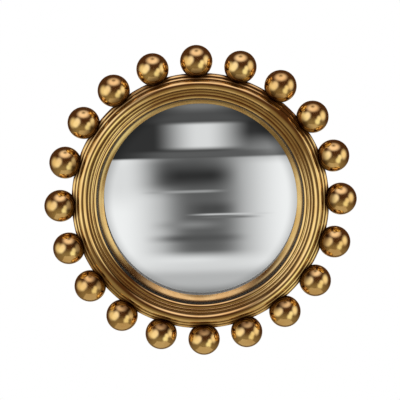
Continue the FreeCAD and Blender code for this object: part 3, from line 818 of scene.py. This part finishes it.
# %% [markdown]
# ## The floor
#
# The mirror hangs well clear of a plain pale floor, which shows in views from above and, small and
# dim, in the undersides of the balls. It lies mostly in front of the wall, as a room's floor does.
# Its sizes are in metres, and its matt paint is the same all over.

# %% Floor
FLOOR_DROP = 3.0
FLOOR_SIZE = 3.9
FLOOR_MIDDLE = -0.6

bpy.ops.mesh.primitive_plane_add(size=FLOOR_SIZE, location=(0, FLOOR_MIDDLE, -FLOOR_DROP))
floor = bpy.context.object
floor.name = "floor"
floor_paint, *_ = principled("pale_floor", **{"Base Color": linear("#B9AE98"), "Roughness": 0.9})
floor.data.materials.append(floor_paint)
print(f"floor {FLOOR_SIZE} m wide, {FLOOR_DROP} m below the middle of the mirror")

# %% [markdown]
# ## The camera
#
# The photograph was taken from about 2.2 m with a long lens, a little above the mirror and almost
# straight in front of it. The direction towards the camera is worked out from its angles, and a
# cross product with the upright gives its right and its up, which the roll then turns. Distances
# are in metres here.

# %% Camera
CAMERA_DISTANCE = 2.206
CAMERA_ELEVATION = math.radians(7.75)
CAMERA_AZIMUTH = math.radians(1.0)
CAMERA_ROLL = math.radians(-1.62)
CAMERA_LENS = 112.1           # mm, in front of a sensor 36 mm wide
CAMERA_AIM = Vector((-0.0003, -0.051, 0.0039))

towards_camera = Vector((math.sin(CAMERA_AZIMUTH) * math.cos(CAMERA_ELEVATION),
                         -math.cos(CAMERA_AZIMUTH) * math.cos(CAMERA_ELEVATION),
                         math.sin(CAMERA_ELEVATION)))
camera_right = Vector((0, 0, 1)).cross(towards_camera).normalized()
camera_up = towards_camera.cross(camera_right)
rolled_right = camera_right * math.cos(CAMERA_ROLL) + camera_up * math.sin(CAMERA_ROLL)
rolled_up = camera_up * math.cos(CAMERA_ROLL) - camera_right * math.sin(CAMERA_ROLL)

camera_data = bpy.data.cameras.new("camera")
camera_data.lens = CAMERA_LENS
camera_data.sensor_width = 36
camera = bpy.data.objects.new("camera", camera_data)
bpy.context.scene.collection.objects.link(camera)
turn = Matrix((rolled_right, rolled_up, towards_camera)).transposed().to_4x4()
camera.matrix_world = Matrix.Translation(CAMERA_AIM + towards_camera * CAMERA_DISTANCE) @ turn
bpy.context.scene.camera = camera
bpy.context.scene.view_settings.view_transform = "Standard"
print("camera at", [round(value, 3) for value in camera.matrix_world.translation])

# %% [markdown]
# ## The studio
#
# Gilding and glass have hardly any colour of their own: they show the room. So the world is made
# as a studio. To the camera it is white, and it lights plain surfaces evenly at a level of 1. In
# the gilding and the glass it shows soft lamps, and each lamp is placed where its highlight would
# sit on a ball: 0, 0 is the middle of the ball, 1 is its edge. A ball's surface there faces halfway
# between the camera and the lamp, so the direction of a ray plus the direction of the camera,
# made one long, gives that place back. The lamps stay where they are when the camera moves.

# %% Where a direction shows on a ball
world = bpy.data.worlds.new("studio")
bpy.context.scene.world = world
world.use_nodes = True
world.cycles.sampling_method = "NONE"
sky = world.node_tree
sky.nodes.clear()
direction = add(sky, "ShaderNodeTexCoord").outputs["Generated"]
between = add(sky, "ShaderNodeVectorMath", {0: direction, 1: towards_camera}, operation="ADD")
halfway = add(sky, "ShaderNodeVectorMath", {0: between.outputs[0]}, operation="NORMALIZE")
across, upward, facing = (
    add(sky, "ShaderNodeVectorMath", {0: halfway.outputs[0], 1: axis}, operation="DOT_PRODUCT")
    for axis in (camera_right, camera_up, towards_camera))
spot = add(sky, "ShaderNodeCombineXYZ", {
    "X": across.outputs["Value"], "Y": upward.outputs["Value"]}).outputs[0]
print("towards the camera:", [round(value, 3) for value in towards_camera])

# %% [markdown]
# ## Soft patches of light
#
# A lamp behind a diffuser has no sharp edge. Two functions lay one patch of colour over another
# with a mask that fades smoothly: a rectangle for the room in the glass, an ellipse for the lamps.

# %% Patches


def soft_patch(spot, under, centre, half, soft, hex_colour):
    """Lays a soft-edged rectangle of one colour over what is under it.

    Its mask is 1 where both distances from the centre are less than half minus soft, and fades
    smoothly to 0 at half plus soft.
    """
    offset = add(sky, "ShaderNodeVectorMath", {0: spot, 1: (*centre, 0)}, operation="SUBTRACT")
    distance = add(sky, "ShaderNodeVectorMath", {0: offset.outputs[0]}, operation="ABSOLUTE")
    fade = add(sky, "ShaderNodeMapRange", {
        "Vector": distance.outputs[0],
        RANGE_FROM_MIN: (half[0] + soft[0], half[1] + soft[1], 1),
        RANGE_FROM_MAX: (half[0] - soft[0], half[1] - soft[1], 0),
    }, data_type="FLOAT_VECTOR", interpolation_type="SMOOTHSTEP")
    sides = add(sky, "ShaderNodeSeparateXYZ", {0: fade.outputs["Vector"]})
    mask = add(sky, "ShaderNodeMath", {0: sides.outputs["X"], 1: sides.outputs["Y"]},
               operation="MULTIPLY")
    return add(sky, "ShaderNodeMix", {
        MIX_SHARE: mask.outputs[0], MIX_FROM: under, MIX_TO: linear(hex_colour),
    }, data_type="RGBA").outputs[MIX_RESULT]


def soft_round(spot, under, centre, half, soft, hex_colour):
    """Lays a soft-edged ellipse of one colour over what is under it.

    With the distance from the centre counted in half sizes, its mask fades smoothly from 1 at
    1 - soft to 0 at 1 + soft.
    """
    offset = add(sky, "ShaderNodeVectorMath", {0: spot, 1: (*centre, 0)}, operation="SUBTRACT")
    scaled = add(sky, "ShaderNodeVectorMath", {
        0: offset.outputs[0], 1: (1 / half[0], 1 / half[1], 1)}, operation="MULTIPLY")
    distance = add(sky, "ShaderNodeVectorMath", {0: scaled.outputs[0]}, operation="LENGTH")
    mask = add(sky, "ShaderNodeMapRange", {
        "Value": distance.outputs["Value"], "From Min": 1 + soft, "From Max": 1 - soft,
    }, interpolation_type="SMOOTHSTEP")
    return add(sky, "ShaderNodeMix", {
        MIX_SHARE: mask.outputs["Result"], MIX_FROM: under, MIX_TO: linear(hex_colour),
    }, data_type="RGBA").outputs[MIX_RESULT]


def lit_by(spot, start, patches, lay):
    """Lays patch over patch, each with the function `lay`."""
    for patch in patches:
        start = lay(spot, start, *patch)
    return start


# %% [markdown]
# ## What the gilding shows
#
# A warm, dark room, a bright overhead lamp with a dimmer middle, two lamps on each side, and the
# glow of the floor below. Behind the mirror the room is white, as the background is.

# %% Lamps in the gilding: centre, half size, softness, colour
DARK_ROOM = "#4B3323"
GILDING_LAMPS = (
    ((0.00, -0.55), (0.74, 0.38), 0.60, "#8A7E64"),    # floor
    ((0.02, 0.505), (0.32, 0.21), 0.48, "#FFF0F2"),    # overhead lamp
    ((0.02, 0.60), (0.11, 0.07), 0.80, "#85796D"),     # its dim middle
    ((-0.61, 0.01), (0.18, 0.26), 0.60, "#E8E0C8"),    # outer lamp on the left
    ((-0.33, 0.06), (0.16, 0.21), 0.55, "#FFFDFF"),    # inner lamp on the left
    ((-0.45, -0.09), (0.15, 0.18), 0.55, "#FFFFF4"),   # its lower end
    ((0.60, 0.04), (0.15, 0.25), 0.60, "#FFFBEC"),     # outer lamp on the right
    ((0.36, -0.13), (0.12, 0.14), 0.55, "#FFFFEE"),    # inner lamp on the right
    ((0.26, -0.33), (0.14, 0.16), 0.55, "#FAFFE8"),    # its lower end
)
WHITE = (1, 1, 1, 1)
BEHIND = {"From Min": 0.22, "From Max": 0.10}    # cosines that part the room from what is behind

gilding_room = lit_by(spot, linear(DARK_ROOM), GILDING_LAMPS, soft_round)
behind = add(sky, "ShaderNodeMapRange", {"Value": facing.outputs["Value"], **BEHIND},
             interpolation_type="SMOOTHSTEP")
gilding_room = add(sky, "ShaderNodeMix", {
    MIX_SHARE: behind.outputs[0], MIX_FROM: gilding_room, MIX_TO: WHITE,
}, data_type="RGBA").outputs[MIX_RESULT]
print("patches in the gilding:", len(GILDING_LAMPS))

# %% [markdown]
# ## What the glass shows
#
# The dome shrinks the whole room in front of it. It is grey there: a ceiling with one long lamp, a
# dark beam, a bright window wall on each side, a dark blurred middle and a pale floor.

# %% Room in the glass: centre, half size, softness, colour, with the edge of the glass at 1
GLASS_ROOM = (
    ((0.00, 0.00), (1.25, 1.25), (0.15, 0.15), "#FBFBFB"),     # bright windows on both sides
    ((-0.90, 0.22), (0.22, 0.22), (0.16, 0.16), "#E6E6E6"),
    ((0.03, -0.04), (0.48, 0.60), (0.40, 0.12), "#787878"),    # blurred middle of the room
    ((0.02, -0.22), (0.24, 0.36), (0.22, 0.10), "#626262"),
    ((-0.18, 0.26), (0.36, 0.18), (0.26, 0.10), "#5A5A5A"),
    ((-0.05, 0.23), (0.32, 0.08), (0.18, 0.08), "#323232"),    # its darkest part
    ((-0.16, 0.07), (0.34, 0.012), (0.16, 0.012), "#A2A2A2"),  # bright streaks across it
    ((0.10, -0.12), (0.18, 0.06), (0.14, 0.05), "#4C4C4C"),
    ((0.30, -0.17), (0.34, 0.008), (0.16, 0.010), "#D0D0D0"),
    ((0.26, -0.20), (0.26, 0.010), (0.16, 0.012), "#747474"),
    ((-0.12, -0.27), (0.24, 0.03), (0.24, 0.04), "#8C8C8C"),
    ((-0.05, -0.41), (0.34, 0.03), (0.26, 0.03), "#565656"),
    ((-0.22, -0.64), (0.60, 0.05), (0.50, 0.06), "#EAEAEA"),   # bright far edge of the floor
    ((0.00, -0.94), (1.20, 0.22), (0.20, 0.09), "#BEBEBE"),    # floor
    ((0.00, -1.06), (1.20, 0.10), (0.20, 0.10), "#6C6C6C"),
    ((0.00, 0.92), (1.40, 0.50), (0.10, 0.015), "#343434"),    # dark ceiling
    ((0.70, 0.50), (0.26, 0.09), (0.38, 0.09), "#8E8E8E"),
    ((0.03, 0.64), (0.27, 0.13), (0.24, 0.03), "#E4E4E4"),     # long lamp in the ceiling
    ((0.04, 0.45), (0.60, 0.035), (0.30, 0.022), "#5E5E5E"),   # beam under it
    ((0.04, 0.84), (0.50, 0.06), (0.34, 0.03), "#525252"),     # beam over it
    ((0.04, 0.97), (0.40, 0.06), (0.34, 0.05), "#929292"),
)
GLASS_CENTRE, GLASS_SHARE = (-0.016, -0.130), 0.170    # the glass among the places on a ball

on_glass = add(sky, "ShaderNodeVectorMath", {0: spot, 1: (*GLASS_CENTRE, 0)}, operation="SUBTRACT")
on_glass = add(sky, "ShaderNodeVectorMath", {
    0: on_glass.outputs[0], 1: (1 / GLASS_SHARE, 1 / GLASS_SHARE, 0)}, operation="MULTIPLY")
glass_room = lit_by(on_glass.outputs[0], gilding_room, GLASS_ROOM, soft_patch)
print("patches in the glass:", len(GLASS_ROOM))

# %% [markdown]
# ## Who sees what
#
# The glass is a perfect mirror, so its rays are the sharp ones. Gilding and polish scatter them a
# little. Every other ray, and the camera, meets white.

# %% The world's output
ray = add(sky, "ShaderNodeLightPath")
shiny = add(sky, "ShaderNodeMix", {
    MIX_SHARE: ray.outputs["Is Singular Ray"], MIX_FROM: gilding_room, MIX_TO: glass_room,
}, data_type="RGBA").outputs[MIX_RESULT]
seen = add(sky, "ShaderNodeMix", {
    MIX_SHARE: ray.outputs["Is Glossy Ray"], MIX_FROM: WHITE, MIX_TO: shiny,
}, data_type="RGBA").outputs[MIX_RESULT]
plain = add(sky, "ShaderNodeBackground", {"Color": seen, "Strength": 1.0})
add(sky, "ShaderNodeOutputWorld", {"Surface": plain.outputs[0]})
print("studio:", len(sky.nodes), "nodes")
